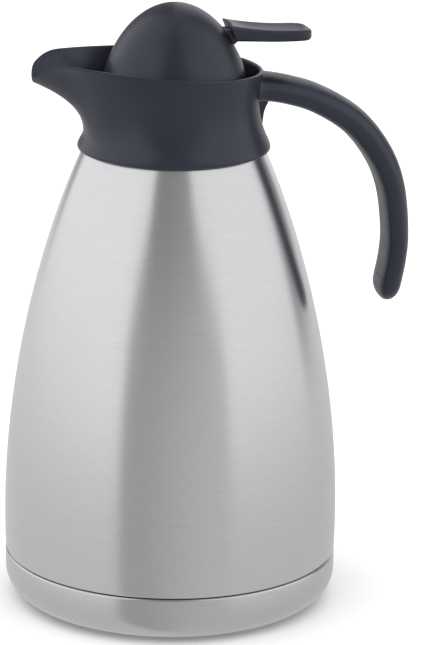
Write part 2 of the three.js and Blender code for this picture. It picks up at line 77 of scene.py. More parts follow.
LIP_Z = corner("collar", 0).z
LIP_R = 44  # the collar's flared lower lip
WAIST = (41.3, 221)  # radius and height where the lip's curve meets the wall's
RIM_R = 40.3  # away from the spout
RIM_Z = 252.1  # where the rim crosses the middle of the jug
RIM_SLOPE = -0.072  # the rim rises towards the spout
SPOUT_X = corner("collar", 0).x
NOTCH_DEPTH = 11  # the dip in the rim at the spout's nose
NOTCH_HALF = 22
WALL = 2.4
RIM_EDGE = 1.9  # the wall's thickness at the rim
TROUGH_Z = 238.2  # floor of the trough round the lid
TROUGH_ROUND = 1.6  # height of the fillet at the trough's outer edge
TROUGH_EASE = 1.8  # reach of that fillet across the floor

THREAD_BORE = 32.2
BORE_FOOT = 230.7
THREAD_LEAD = 36  # rise in one turn
THREAD_ARC = 45  # degrees that each of the three ridges covers
THREAD_ANGLE = 200  # where the stopper's first ridge starts
THREAD_AHEAD = 12  # degrees by which the collar's ridges start before the stopper's
THREAD_Z = 231.6  # foot of the stopper's ridges
THREAD_PLAY = 1.9  # the collar's ridges are this much higher
THREAD_RIDGE = 1.2  # how far a ridge stands out

DOME_TOP = corner("lid_dome", 1).z
DOME_R = corner("lid_dome", 1).x
SKIRT_Z = corner("lid_dome", 0).z
DOME_WALL = 2
PLUG_R = 27.8  # the stopper below its thread
PLUG_THREAD_R = 30.6

PIVOT_X = 17  # the lever's hinge
PIVOT_Z = 260
LEVER_HALF = corner("thumb_lever", 1).y
LEVER_TIP = corner("thumb_lever", 1).x

PLATE_Z = 207.2  # the valve's plate
CLIP_Z = 209.3
STEM_HEAD_Z = 260.6
STEM_R = 2.5
SPRING_TOP = 243.1

HANDLE_WIDTH = 25
HANDLE_MOUTH = 9.9  # half the width of the channel that the cover closes
CHANNEL = (0.047, 0.955)  # where the channel starts and ends, as shares of the length
CHANNEL_DEPTH = 2.6
HANDLE_BACK = 5.5  # outer side of the section, from the handle's middle line
GRIP_MIDDLE = -1.1  # the widest part of the section
GRIP_CROWN = 0.5
GRIP_POWER = 3.2  # how square the inner side is: 2 would be an ellipse
ROOT_START = 0.006  # share of the length where the handle meets the collar
ROOT_FILLET = 0.024
ROOT_SPREAD = 0.09
ROOT_FADE = 0.06  # share over which the handle's end is fitted to the collar's wall
TIP_ROUND = 8.7  # length over which the tip rounds off
TIP_END = 1.034
SCREW_SHARE = 0.135
SCREW_OUT = -5.6  # outside of the screw's head, from the handle's middle line

JOINT_GAP = 0.3  # between pieces that touch on the real jug

# ---- Outline helpers ----


def mix(a, b, share):
    return a + (b - a) * share


def smooth(low, high, value):
    share = min(1.0, max(0.0, (value - low) / (high - low)))
    return share * share * (3 - 2 * share)


def bezier(a, b, c, d, steps):
    """Points of a cubic curve, both ends included."""
    return [bezier_at(a, b, c, d, i / steps) for i in range(steps + 1)]


def bezier_at(a, b, c, d, t):
    weights = ((1 - t) ** 3, 3 * t * (1 - t) ** 2, 3 * t * t * (1 - t), t**3)
    return tuple(sum(w * p[k] for w, p in zip(weights, (a, b, c, d))) for k in (0, 1))


def arc(x, y, radius_x, radius_y, start, end, steps):
    """Points of an ellipse's arc between two angles in degrees."""
    angles = [math.radians(mix(start, end, i / steps)) for i in range(steps + 1)]
    return [(x + radius_x * math.cos(a), y + radius_y * math.sin(a)) for a in angles]


def beside(line, distance):
    """The line moved to the left of its direction of travel."""
    moved = []
    for i, (x, y) in enumerate(line):
        before, after = line[max(i - 1, 0)], line[min(i + 1, len(line) - 1)]
        along = Vector((after[0] - before[0], after[1] - before[1])).normalized()
        moved.append((0.0 if x == 0 else x - along.y * distance, y + along.x * distance))
    return moved


def crossing(low, high, is_before, halvings=24):
    """Where a test stops being true between two numbers."""
    for _ in range(halvings):
        half = (low + high) / 2
        low, high = (half, high) if is_before(half) else (low, half)
    return low


def rounded(outline, radius=0.4, closed=True, steps=3):
    """The outline with each clear corner rounded, and a point beside the rounding that keeps
    the flats flat."""
    smallest_turn = math.radians(14)
    keep, least = 0.25, 0.02  # the point's distance from the rounding, and its least room
    made = []
    count = len(outline)
    for i, here in enumerate(outline):
        if not closed and i in (0, count - 1):
            made.append(tuple(here))
            continue
        p = Vector(here)
        to_before = Vector(outline[i - 1]) - p
        to_after = Vector(outline[(i + 1) % count]) - p
        turn = math.pi - to_before.angle(to_after)
        if turn < smallest_turn:
            made.append(tuple(here))
            continue
        room = 0.45 * min(to_before.length, to_after.length)
        cut = min(radius * math.tan(turn / 2), room)
        side = min(keep, room - cut)
        a, b = to_before.normalized(), to_after.normalized()
        if side > least:
            made.append(tuple(p + a * (cut + side)))
        for k in range(steps + 1):
            t = k / steps
            made.append(tuple(p + a * cut * (1 - t) ** 2 + b * cut * t * t))
        if side > least:
            made.append(tuple(p + b * (cut + side)))
    return made


def soft_corner(before, here, after, reach, steps=4):
    """A corner eased over a distance each way, always as the same number of points."""
    p = Vector(here)
    ends = []
    for q in (before, after):
        way = Vector(q) - p
        ends.append(p + way.normalized() * min(reach, 0.48 * way.length))
    curve = []
    for k in range(steps + 1):
        t = k / steps
        curve.append(tuple(ends[0] * (1 - t) ** 2 + p * 2 * t * (1 - t) + ends[1] * t * t))
    return curve


# ---- Mesh helpers ----


def add_object(name, data):
    obj = bpy.data.objects.new(name, data)
    bpy.context.scene.collection.objects.link(obj)
    return obj


def make_piece(name, vertices, faces, material, sharp=40.0):
    """A closed mesh from points in millimetres, its faces turned to point out."""
    mesh = bpy.data.meshes.new(name)
    mesh.from_pydata([Vector(v) * MM for v in vertices], [], faces)
    mesh.validate()
    obj = add_object(name, mesh)
    if signed_volume(mesh) < 0:
        mesh.flip_normals()
    mesh.shade_smooth()
    mesh.set_sharp_from_angle(angle=math.radians(sharp))
    mesh.materials.append(material)
    return obj


def signed_volume(mesh):
    mesh.calc_loop_triangles()
    total = 0.0
    for triangle in mesh.loop_triangles:
        a, b, c = (mesh.vertices[i].co for i in triangle.vertices)
        total += a.dot(b.cross(c))
    return total / 6


def revolve(outline, sides=160, ripple=None):
    """Vertices and faces of an outline of radius and height turned round the Z axis."""
    rings = []
    vertices = []
    for r, z in outline:
        if abs(r) < 1e-6:
            rings.append([len(vertices)] * sides)
            vertices.append((0, 0, z))
            continue
        rings.append(list(range(len(vertices), len(vertices) + sides)))
        for k in range(sides):
            angle = 2 * math.pi * k / sides
            radius = r + (ripple(angle, r, z) if ripple else 0)
            vertices.append((radius * math.cos(angle), radius * math.sin(angle), z))
    closed = abs(outline[0][0]) > 1e-6
    faces = []
    for i in range(len(rings) if closed else len(rings) - 1):
        low, high = rings[i], rings[(i + 1) % len(rings)]
        for k in range(sides):
            n = (k + 1) % sides
            quad = [low[k], low[n], high[n], high[k]]
            face = list(dict.fromkeys(quad))
            if len(face) > 2:
                faces.append(face)
    return vertices, faces


def skin(rings, capped=True):
    """Vertices and faces over closed rings that hold the same number of points. Capped ends
    are fans, and without caps the last ring joins the first."""
    count = len(rings[0])
    vertices = [p for ring in rings for p in ring]
    faces = []
    last = len(rings) - 1
    for i in range(last if capped else last + 1):
        low, high = i * count, ((i + 1) % len(rings)) * count
        for k in range(count):
            n = (k + 1) % count
            faces.append((low + k, low + n, high + n, high + k))
    if capped:
        for ring_index, flip in ((0, True), (last, False)):
            ring = rings[ring_index]
            middle = len(vertices)
            vertices.append(tuple(sum(p[k] for p in ring) / count for k in range(3)))
            start = ring_index * count
            for k in range(count):
                pair = (start + k, start + (k + 1) % count)
                faces.append((*(reversed(pair) if flip else pair), middle))
    return vertices, faces


def turned(name, outline, material, sides=160, sharp=40.0, ripple=None):
    return make_piece(name, *revolve(outline, sides, ripple), material, sharp)


def place(obj, body, slot, *nodes):
    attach(obj, body)
    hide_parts(*nodes)


def cylinder(name, start, end, radius, material, sides=40, bevel=0.15):
    """A rod between two points, with a small bevel at each end."""
    a, b = Vector(start), Vector(end)
    along = (b - a).normalized()
    side = along.orthogonal().normalized()
    other = along.cross(side)
    stations = [(0, radius - bevel), (bevel, radius), ((b - a).length - bevel, radius),
                ((b - a).length, radius - bevel)]
    rings = []
    for distance, r in stations:
        angles = [2 * math.pi * k / sides for k in range(sides)]
        rings.append([a + along * distance + (side * math.cos(t) + other * math.sin(t)) * r
                      for t in angles])
    return make_piece(name, *skin(rings), material)


def apply_modifiers(obj):
    graph = bpy.context.evaluated_depsgraph_get()
    mesh = bpy.data.meshes.new_from_object(obj.evaluated_get(graph))
    obj.modifiers.clear()
    obj.data = mesh


def cut(obj, cutter, operation="DIFFERENCE"):
    """Cuts the cutter out of obj, or joins it to it, and removes the cutter."""
    modifier = obj.modifiers.new("cut", "BOOLEAN")
    modifier.operation = operation
    modifier.solver = "EXACT"
    modifier.object = cutter
    bpy.context.view_layer.update()
    apply_modifiers(obj)
    bpy.data.objects.remove(cutter)
    obj.data.shade_smooth()
    obj.data.set_sharp_from_angle(angle=math.radians(35))


# ---- Materials ----


class Tree:
    """A shader's node tree, with short calls to add to it."""

    def __init__(self, tree):
        self.tree = tree

    def add(self, kind, settings=None, **inputs):
        node = self.tree.nodes.new("ShaderNode" + kind)
        for key, value in (settings or {}).items():
            setattr(node, key, value)
        for key, value in inputs.items():
            self.feed(node.inputs[key.replace("_", " ")], value)
        return node

    def feed(self, socket, value):
        if isinstance(value, bpy.types.NodeSocket):
            self.tree.links.new(value, socket)
        else:
            socket.default_value = value

    def math(self, operation, a, b):
        node = self.add("Math", {"operation": operation})
        self.feed(node.inputs[0], a)
        self.feed(node.inputs[1], b)
        return node.outputs[0]

    def times(self, a, b):
        return self.math("MULTIPLY", a, b)

    def span(self, value, low, high, from_low=0.0, from_high=1.0, curve="LINEAR"):
        node = self.add("MapRange", {"interpolation_type": curve}, Value=value,
                        From_Min=from_low, From_Max=from_high, To_Min=low, To_Max=high)
        return node.outputs["Result"]


class Nodes(Tree):
    """A material's node tree."""

    def __init__(self, name):
        self.material = bpy.data.materials.new(name)
        self.material.use_nodes = True
        super().__init__(self.material.node_tree)
        self.shader = self.tree.nodes["Principled BSDF"]

    def set(self, **inputs):
        for key, value in inputs.items():
            self.feed(self.shader.inputs[key.replace("_", " ")], value)

    def place(self, scale=(1, 1, 1)):
        """The object's own coordinates in metres, stretched."""
        where = self.add("TexCoord").outputs["Object"]
        return self.add("Mapping", Vector=where, Scale=scale).outputs["Vector"]

    def noise(self, vector, scale, detail=3.0, roughness=0.5):
        node = self.add("TexNoise", Vector=vector, Scale=scale, Detail=detail,
                        Roughness=roughness)
        return node.outputs["Fac"]

    def blend(self, factor, a, b):
        """One of two colours, or between them."""
        node = self.add("Mix", {"data_type": "RGBA"})
        for key, value in (("Factor", factor), (6, a), (7, b)):
            self.feed(node.inputs[key], value)
        return node.outputs[2]

    def mottle(self, noise, dark, light, low=0.3, high=0.7):
        """Two colours mixed by a noise between two of its levels."""
        return self.blend(self.span(noise, 0, 1, low, high), dark, light)

    def bump(self, height, strength, distance, **normal):
        node = self.add("Bump", Height=height, Strength=strength, Distance=distance,
                        **normal)
        return node.outputs["Normal"]


def shade(red, green, blue):
    return (red, green, blue, 1.0)


def dimmed(colour, share):
    return shade(*(share * c for c in colour[:3]))


def brushed_steel(name, light, dark, roughness, anisotropy):
    """Steel brushed round the Z axis: hairlines that are long round the axis and thin along it."""
    n = Nodes(name)
    fine = n.noise(n.place((150, 150, 2400)), 1.0, 2.0, 0.6)
    broad = n.noise(n.place((40, 40, 700)), 1.0, 2.0, 0.55)
    cloud = n.noise(n.place(), 14.0, 2.0)
    streak = n.times(n.span(fine, 0.93, 1.07, 0.25, 0.75), n.span(broad, 0.985, 1.015, 0.3, 0.7))
    n.set(
        Base_Color=n.mottle(streak, dark, light, 0.8, 1.2),
        Metallic=1.0,
        Roughness=n.span(cloud, roughness - 0.02, roughness + 0.03, 0.3, 0.7),
        Anisotropic=anisotropy,
        Anisotropic_Rotation=0.25,
        Tangent=n.add("Tangent", {"direction_type": "RADIAL", "axis": "Z"})
        .outputs["Tangent"],
        Normal=n.bump(fine, 0.04, 0.00002),
    )
    return n.material


def moulded_plastic(name, light, dark, roughness, grain=0.16):
    """Satin moulded plastic: a very fine eroded grain and a slightly uneven sheen."""
    n = Nodes(name)
    grit = n.noise(n.place(), 3800.0, 2.0, 0.6)
    pores = n.add("TexVoronoi", Vector=n.place(), Scale=2100.0).outputs["Distance"]
    cloud = n.noise(n.place(), 28.0, 3.0, 0.55)
    wear = n.noise(n.place(), 120.0, 4.0, 0.6)
    n.set(
        Base_Color=n.mottle(cloud, dark, light, 0.32, 0.68),
        Roughness=n.span(wear, roughness - 0.04, roughness + 0.05, 0.3, 0.7),
        IOR=1.49,
        Specular_IOR_Level=0.76,
        Specular_Tint=shade(0.74, 0.8, 1.0),
        Normal=n.bump(grit, grain, 0.00004, Normal=n.bump(pores, grain * 0.7, 0.00005)),
    )
    return n.material


def rubber(name, light, dark, roughness):
    n = Nodes(name)
    cloud = n.noise(n.place(), 60.0, 3.0)
    dust = n.noise(n.place(), 2600.0, 2.0, 0.7)
    n.set(
        Base_Color=n.mottle(cloud, dark, light),
        Roughness=n.span(dust, roughness - 0.05, roughness + 0.06, 0.3, 0.7),
        Sheen_Weight=0.15,
        Sheen_Roughness=0.5,
        Normal=n.bump(dust, 0.2, 0.00004),
    )
    return n.material


def drawn_steel(name, colour, roughness):
    """Plain bright metal with faint drawing marks."""
    n = Nodes(name)
    marks = n.noise(n.place((400, 400, 1800)), 1.0, 3.0, 0.6)
    stain = n.noise(n.place(), 35.0, 3.0)
    n.set(
        Base_Color=n.mottle(stain, dimmed(colour, 0.86), colour),
        Metallic=1.0,
        Roughness=n.span(marks, roughness - 0.05, roughness + 0.07, 0.3, 0.7),
        Normal=n.bump(marks, 0.08, 0.00003),
    )
    return n.material


def crinkled_foil(name, colour):
    n = Nodes(name)
    folds = n.add("TexVoronoi", Vector=n.place(), Scale=220.0).outputs["Distance"]
    sheen = n.noise(n.place(), 90.0, 3.0)
    n.set(
        Base_Color=n.mottle(sheen, shade(0.38, 0.13, 0.06), colour),
        Metallic=1.0,
        Roughness=n.span(sheen, 0.18, 0.32, 0.3, 0.7),
        Normal=n.bump(folds, 0.35, 0.0003),
    )
    return n.material


def sintered(name, colour):
    n = Nodes(name)
    grains = n.noise(n.place(), 1800.0, 4.0, 0.7)
    n.set(
        Base_Color=n.mottle(grains, dimmed(colour, 0.6), colour),
        Metallic=0.6,
        Roughness=0.62,
        Normal=n.bump(grains, 0.5, 0.0001),
    )
    return n.material


def solder_glass(name, colour):
    n = Nodes(name)
    swirl = n.noise(n.place(), 300.0, 3.0, 0.6)
    n.set(
        Base_Color=n.mottle(swirl, dimmed(colour, 0.7), colour),
        Roughness=0.12,
        IOR=1.6,
        Normal=n.bump(swirl, 0.08, 0.0002),
    )
    return n.material


body_steel = brushed_steel("body_steel", shade(0.73, 0.73, 0.745), shade(0.62, 0.62, 0.635),
                           0.23, 0.5)
base_steel = brushed_steel("base_steel", shade(0.68, 0.68, 0.69), shade(0.57, 0.57, 0.58),
                           0.24, 0.45)
liner_steel = drawn_steel("liner_steel", shade(0.66, 0.66, 0.66), 0.24)
charcoal = moulded_plastic("charcoal", shade(0.0135, 0.0138, 0.0205),
                           shade(0.0095, 0.0098, 0.0152), 0.34)
silicone = rubber("silicone", shade(0.28, 0.29, 0.3), shade(0.24, 0.25, 0.26), 0.55)
black_rubber = rubber("black_rubber", shade(0.024, 0.024, 0.026), shade(0.015, 0.015, 0.017), 0.7)
wire_steel = drawn_steel("wire_steel", shade(0.66, 0.66, 0.68), 0.2)
copper = crinkled_foil("copper", shade(0.55, 0.22, 0.1))
getter_grey = sintered("getter_grey", shade(0.2, 0.2, 0.21))
bead_glass = solder_glass("bead_glass", shade(0.4, 0.46, 0.42))

# ---- Flask and base ----

BODY_CURVE = ((BODY_R, SEAM_Z), (80.3, 98), (60.2, 169.5), SHOULDER)


def make_flask():
    fold = 0.9  # rounding of the wall's lower edge
    hem = [(TUCK_R, HEM_Z), (TUCK_R, SEAM_Z - 0.5), (TUCK_R + 0.5, SEAM_Z), *arc(
        BODY_R - fold, SEAM_Z + fold, fold, fold, -80, -8, 6)]
    shoulder = [(40.6, 215), (39, 217.6), (35.6, 219.6)]
    bead = [(NECK_R, 223.4), (NECK_R + 0.9, 224.4), (NECK_R, 225.4)]  # holds the snap ring
    neck = [(NECK_R, NECK_FOOT), *bead, (NECK_R, NECK_TOP)]
    wall = bezier(*BODY_CURVE, 120)[1:]
    inner_line = [*wall[2:], *shoulder, (NECK_R, NECK_FOOT), (NECK_R, NECK_TOP)]
    inside = [(TUCK_R - STEEL, HEM_Z), (TUCK_R - STEEL, 25), *beside(inner_line, STEEL)]
    outline = [*hem, *wall, *rounded(shoulder + neck, 0.8, False), *reversed(inside)]
    place(turned("flask_wall", outline, body_steel, 288), "vessel", "brushed_body", "outer_shell")


def sheet(line, thickness):
    """A closed outline of sheet metal, from the line of its outer side."""
    return line + beside(line, thickness)[::-1]


def make_liner():
    bottom = [(0, 27.5), *bezier((20, 27.2), (48, 25.4), (69.9, 22.5), (70, 40), 24)]
    side = bezier((70, 40), (70, 105), (60, 147), (34.5, 204), 50)[1:]
    throat_r = MOUTH_R + STEEL
    flange_z = NECK_TOP + 0.35
    throat = [(31, 210), (throat_r, 214.5), (throat_r, NECK_TOP - 0.4),
              (throat_r + 0.7, flange_z), (NECK_R + 0.6, flange_z)]
    liner = turned("liner_wall", sheet(bottom + side + throat, STEEL), liner_steel, 192)
    place(liner, "vessel", "liner_steel", "inner_liner")


def make_vacuum_parts():
    """What is in the gap between the walls, and what closes it below."""
    foil_line = bezier((72, 44), (72, 105), (62, 148), (39, 200), 30)
    foil = turned("foil_wrap", sheet(foil_line, 0.3), copper, 96)
    place(foil, "vessel", "copper_foil", "radiation_foil")

    disc_line = [(0, 16.5), (20, 16.3), (40, 15.2), (60, 13.7),
                 *arc(71, 15.4, 3.4, 2.6, -90, 0, 6), (74.4, 18.5)]
    disc = turned("closing_disc", sheet(disc_line, STEEL), liner_steel, 144)
    place(disc, "vessel", "liner_steel", "vessel_bottom_disc")

    bead_line = [(0, 13), *arc(0, 16, 5.2, 3, -80, 0, 8), (0, 16.1)]
    place(turned("seal_bead", bead_line, bead_glass, 48), "vessel", "seal_bead", "evacuation_seal")


def make_base():
    round_r = 13
    corner_arc = arc(CUP_R - round_r, FOOT_Z + round_r, round_r, round_r, -90, 0, 24)
    recess = rounded([(0, 2), (PAD_R + 1, 2), (PAD_R + 2.2, FOOT_Z), (CUP_R - round_r, FOOT_Z)],
                     0.8, False)[:-1]
    hem = [(CUP_R, CUP_TOP - 0.9), (CUP_R - 0.12, CUP_TOP - 0.4), (CUP_R - 0.4, CUP_TOP - 0.1)]
    line = [*recess, *corner_arc, *hem]
    inside = beside([*recess, *corner_arc, (CUP_R, CUP_TOP)], 0.9)
    cup = turned("base_cup_shell", line + inside[::-1], base_steel, 288)
    place(cup, "vessel", "brushed_base", "base_cup")


def make_rest_pad():
    top, edge = 1.6, 0.8
    grooves, first_r, pitch = 6, 8, 7
    line = [(0, 0)]
    for groove in range(grooves):
        r = first_r + groove * pitch
        line += [(r, 0), (r + 0.3, 0.5), (r + 0.9, 0.5), (r + 1.2, 0)]
    line += [(PAD_R - edge, 0), (PAD_R, edge), (PAD_R, top), (0, top)]
    pad = turned("rest_pad", rounded(line, 0.25, False, 2), black_rubber, 144)
    place(pad, "vessel", "black_rubber", "base_pad")


# ---- Collar ----

SPOUT_SIDE = ((-8, 39.5), (-28, 35.4), (-48, 25), (-62, 12))
SPOUT_NOSE = ((-62, 12), (-65, 9.2), (SPOUT_X, 5), (SPOUT_X, 0))


def bearing(p):
    """The angle of a point in plan, in radians from +X."""
    return math.atan2(p[1], p[0])


def rim_point(angle):
    """Where a ray from the axis crosses the rim's outside in plan, on the +Y side."""
    wanted = abs(math.atan2(math.sin(angle), math.cos(angle)))
    if wanted <= bearing(SPOUT_SIDE[0]):
        return RIM_R * math.cos(wanted), RIM_R * math.sin(wanted)
    curve = SPOUT_SIDE if wanted < bearing(SPOUT_NOSE[0]) else SPOUT_NOSE
    t = crossing(0.0, 1.0, lambda t: bearing(bezier_at(*curve, t)) < wanted, 40)
    return bezier_at(*curve, t)


def rim_height(x, y):
    """The rim's height over a point in plan, for y of 0 or more."""
    across = min(1.0, y / NOTCH_HALF)
    notch = NOTCH_DEPTH * (1 - across * across) ** 3 if x < 0 else 0.0
    return RIM_Z + RIM_SLOPE * x - notch


def wall_curve(angle):
    """The outside of the collar's wall at one angle, from the waist to the rim."""
    x, y = rim_point(angle)
    radius, height = math.hypot(x, y), rim_height(x, y)
    flare = (radius - RIM_R) / (-SPOUT_X - RIM_R)
    return (
        WAIST,
        (mix(37.6, 41.6, flare), 231.3),
        (mix(38.4, 50, flare), height - mix(11, 7, flare)),
        (radius, height),
    )


def wall_radius(z):
    """The wall's outside radius at a height, on the handle's side."""
    curve = wall_curve(0.0)
    t = crossing(0.0, 1.0, lambda t: bezier_at(*curve, t)[1] < z)
    return bezier_at(*curve, t)[0]


def ridge_height(angle, z, first, foot):
    """How far a three-start thread's ridge stands out at an angle and a height."""
    out = 0.0
    for start in range(3):
        along = (math.degrees(angle) - first - 120 * start) % 360
        if along > THREAD_ARC + 6:
            continue
        middle = foot + THREAD_LEAD * along / 360
        across = 1 - smooth(0.45, 1.15, abs(z - middle))
        ends = smooth(-1, 5, along) * (1 - smooth(THREAD_ARC - 4, THREAD_ARC + 4, along))
        out = max(out, THREAD_RIDGE * across * ends)
    return out


def wall_inside(curve, t):
    """The inner side of the collar's wall, beside a point of its outer curve."""
    step = 0.01
    a, b = bezier_at(*curve, t - step), bezier_at(*curve, t + step)
    along = Vector((b[0] - a[0], b[1] - a[1])).normalized()
    x, z = bezier_at(*curve, t)
    thick = mix(WALL, RIM_EDGE, smooth(0.5, 1.0, t))
    level = 1 - 0.6 * smooth(0.6, 1.0, t)
    return x - along.y * thick, z + along.x * thick * level


def collar_lip(curve):
    """The flared lower lip, from its inner edge up to the waist."""
    widest = (LIP_R, LIP_Z + 2.3)
    below_waist = Vector(WAIST) - (Vector(curve[1]) - Vector(WAIST)).normalized() * 2.6
    lip = bezier((42.2, LIP_Z + 1.35), (42.9, LIP_Z + 0.95), (LIP_R, LIP_Z + 1.3), widest, 8)
    return lip + bezier(widest, (LIP_R, LIP_Z + 3.9), tuple(below_waist), WAIST, 14)[1:]


def collar_rim(curve):
    """The edge of the rim, eased on both sides."""
    ease, back = 0.6, 0.93
    top_out, top_in = bezier_at(*curve, 1), wall_inside(curve, 1)
    rim = soft_corner(bezier_at(*curve, back), top_out, top_in, ease)
    return rim + soft_corner(top_out, top_in, wall_inside(curve, back), ease)


def collar_trough(curve):
    """The wall's inner side from the rim down, a fillet, and the trough's floor."""
    fillet_top = TROUGH_Z + TROUGH_ROUND
    t_foot = crossing(0.2, 1.0, lambda t: wall_inside(curve, t)[1] < fillet_top)
    foot = wall_inside(curve, t_foot)
    ahead = wall_inside(curve, t_foot + 0.02)
    slope = (ahead[0] - foot[0]) / (ahead[1] - foot[1])
    floor_r = foot[0] - slope * TROUGH_ROUND
    line = [wall_inside(curve, mix(0.96, t_foot, k / 16)) for k in range(1, 17)]
    corner_points = (foot, (floor_r, TROUGH_Z), (floor_r - TROUGH_EASE, TROUGH_Z))
    for k in range(1, 6):
        t = k / 5
        weights = ((1 - t) ** 2, 2 * t * (1 - t), t * t)
        line.append(tuple(sum(w * p[i] for w, p in zip(weights, corner_points)) for i in (0, 1)))
    inner_r = THREAD_BORE + 0.8
    return line + [(mix(floor_r - TROUGH_EASE, inner_r, share), TROUGH_Z) for share in (0.5, 1)]


def collar_bore(angle):
    """The trough's inner edge, the threaded bore and the pocket for the gasket and snap ring."""
    edge = [(THREAD_BORE + 0.25, TROUGH_Z - 0.2), (THREAD_BORE, TROUGH_Z - 0.7)]
    foot = THREAD_Z + THREAD_PLAY - THREAD_LEAD * THREAD_AHEAD / 360
    first = THREAD_ANGLE - THREAD_AHEAD
    heights = [mix(TROUGH_Z - 0.9, BORE_FOOT, k / 26) for k in range(27)]
    bore = [(THREAD_BORE - ridge_height(angle, z, first, foot), z) for z in heights]
    pocket = [(THREAD_BORE, 230.6), (36.3, 230.6), (36.3, 224.1), (37.7, 223.9), (37.7, 220.9),
              (38.4, 219.4), (40.2, 217.7), (41.4, 215.2)]
    return edge + bore + pocket


def collar_column(angle):
    """The collar's whole section at one angle, as a closed line of radius and height."""
    curve = wall_curve(angle)
    outside = [bezier_at(*curve, t / 28) for t in range(1, 28)]
    upper = collar_lip(curve) + outside + collar_rim(curve) + collar_trough(curve)
    return upper + collar_bore(angle)


def collar_angles(count):
    """Angles round the collar, closer together towards the spout."""
    even = [2 * math.pi * k / count for k in range(count)]
    return [a - (0.28 * math.sin(2 * a) if math.cos(a) < 0 else 0) for a in even]


def make_collar():
    columns = []
    for angle in collar_angles(256):
        c, s = math.cos(angle), math.sin(angle)
        columns.append([(r * c, r * s, z) for r, z in collar_column(angle)])
    collar = make_piece("collar_moulding", *skin(columns, capped=False), charcoal, 50)
    place(collar, "vessel", "charcoal_plastic", "collar")

    root_x = 38.2  # inside the collar's wall
    web_line = [(root_x, 222.6), (40.8, 223), (41.1, 225.6), (41.4, 228.1), (42.3, 230.8),
                (43.4, 232.9), (44.2, 235.2), (root_x, 236)]
    sides = [(-3, 0.6), (-2.75, 0.2), (-2.3, 0), (2.3, 0), (2.75, 0.2), (3, 0.6)]
    rings = [[(max(root_x, x - back), y, z) for x, z in web_line] for y, back in sides]
    web = make_piece("handle_web", *skin(rings), charcoal, 60)
    place(web, "vessel", "charcoal_plastic", "collar")


def make_collar_rings():
    """The gasket on the flange, and the split wire ring under the neck's bead."""
    ring = rounded([(31.3, 228.6), (35.2, 228.6), (35.2, 230.2), (31.3, 230.2)], 0.4)
    gasket = turned("collar_seal", ring, silicone, 144)
    place(gasket, "vessel", "grey_silicone", "collar_gasket")

    ring_r, ring_z, wire, split = 36.4, 222.4, 0.7, 30
    turns = [math.radians(split / 2 + (360 - split) * k / 160) for k in range(161)]
    path = [Vector((ring_r * math.cos(t), ring_r * math.sin(t), ring_z)) for t in turns]
    snap = make_piece("snap_ring", *tube(path, wire, 14), wire_steel)
    place(snap, "vessel", "spring_steel", "collar_snap_ring")


def tube(path, radius, sides):
    """A round bar along points that curve about the Z axis."""
    rings = []
    for i, p in enumerate(path):
        along = (path[min(i + 1, len(path) - 1)] - path[max(i - 1, 0)]).normalized()
        out = Vector((p.x, p.y, 0)).normalized()
        up = out.cross(along).normalized()
        out = along.cross(up)
        rings.append([p + (out * math.cos(t) + up * math.sin(t)) * radius
                      for t in (2 * math.pi * k / sides for k in range(sides))])
    return skin(rings)


# ---- Handle ----

HANDLE_POINTS = [
    (38, 241.7), (44, 240.9), (53, 239), (66, 234.7), (84.5, 223.3), (97.1, 207.4),
    (103.2, 191.8), (105.8, 168), (105, 156.3), (102.1, 141),
]


def catmull_rom(points, steps):
    """A smooth line through the points, with knots spaced by the root of their distance."""
    first = Vector(points[0]) * 2 - Vector(points[1])
    last = Vector(points[-1]) * 2 - Vector(points[-2])
    line = [first, *map(Vector, points), last]
    made = []
    for i in range(1, len(line) - 2):
        p = line[i - 1:i + 3]
        knots = [0.0]
        for a, b in zip(p, p[1:]):
            knots.append(knots[-1] + math.sqrt((b - a).length))
        for k in range(steps):
            t = mix(knots[1], knots[2], k / steps)

            def between(a, b, start, end):
                return a * ((end - t) / (end - start)) + b * ((t - start) / (end - start))

            level = [between(p[j], p[j + 1], knots[j], knots[j + 1]) for j in range(3)]
            level = [between(level[j], level[j + 1], knots[j], knots[j + 2]) for j in range(2)]
            made.append(between(level[0], level[1], knots[1], knots[2]))
    made.append(Vector(points[-1]))
    return made


class HandleLine:
    """The handle's middle line, measured by share of its length."""

    def __init__(self):
        self.points = catmull_rom(HANDLE_POINTS, 24)
        self.lengths = [0.0]
        for a, b in zip(self.points, self.points[1:]):
            self.lengths.append(self.lengths[-1] + (b - a).length)
        self.total = self.lengths[-1]

    def at(self, share):
        wanted = max(0.0, min(1.0, share)) * self.total
        i = 0
        while i < len(self.lengths) - 2 and self.lengths[i + 1] < wanted:
            i += 1
        part = (wanted - self.lengths[i]) / (self.lengths[i + 1] - self.lengths[i])
        return self.points[i].lerp(self.points[i + 1], part)

    def along(self, share):
        share = min(share, 1.0)
        return (self.at(share + 0.01) - self.at(share - 0.01)).normalized()

    def place(self, share, out, y):
        """A point at a distance outwards from the line and across it."""
        middle, along = self.at(share), self.along(share)
        if share > 1:
            middle = middle + along * (share - 1) * self.total
        return Vector((middle.x - along.y * out, y, middle.y + along.x * out))


handle_line = HandleLine()


def inner_face(share):
    """Distance from the middle line in to the inner face: the grip is fullest at its bend."""
    bend = math.cos(math.pi * min(0.5, max(-0.5, (share - 0.4) / 0.6))) ** 2
    return 6.5 + 0.7 * bend - 1.2 * smooth(0.5, 0.9, share)


def half_width(share):
    return HANDLE_WIDTH / 2 * mix(1.0, 0.9, share)


def grip_face(share, y, sink=0.0):
    """The grip's surface on its inner side, at a distance across."""
    level = max(0.0, 1 - abs(y / half_width(share)) ** GRIP_POWER) ** (1 / GRIP_POWER)
    return GRIP_MIDDLE - (inner_face(share) + GRIP_CROWN + GRIP_MIDDLE) * level + sink


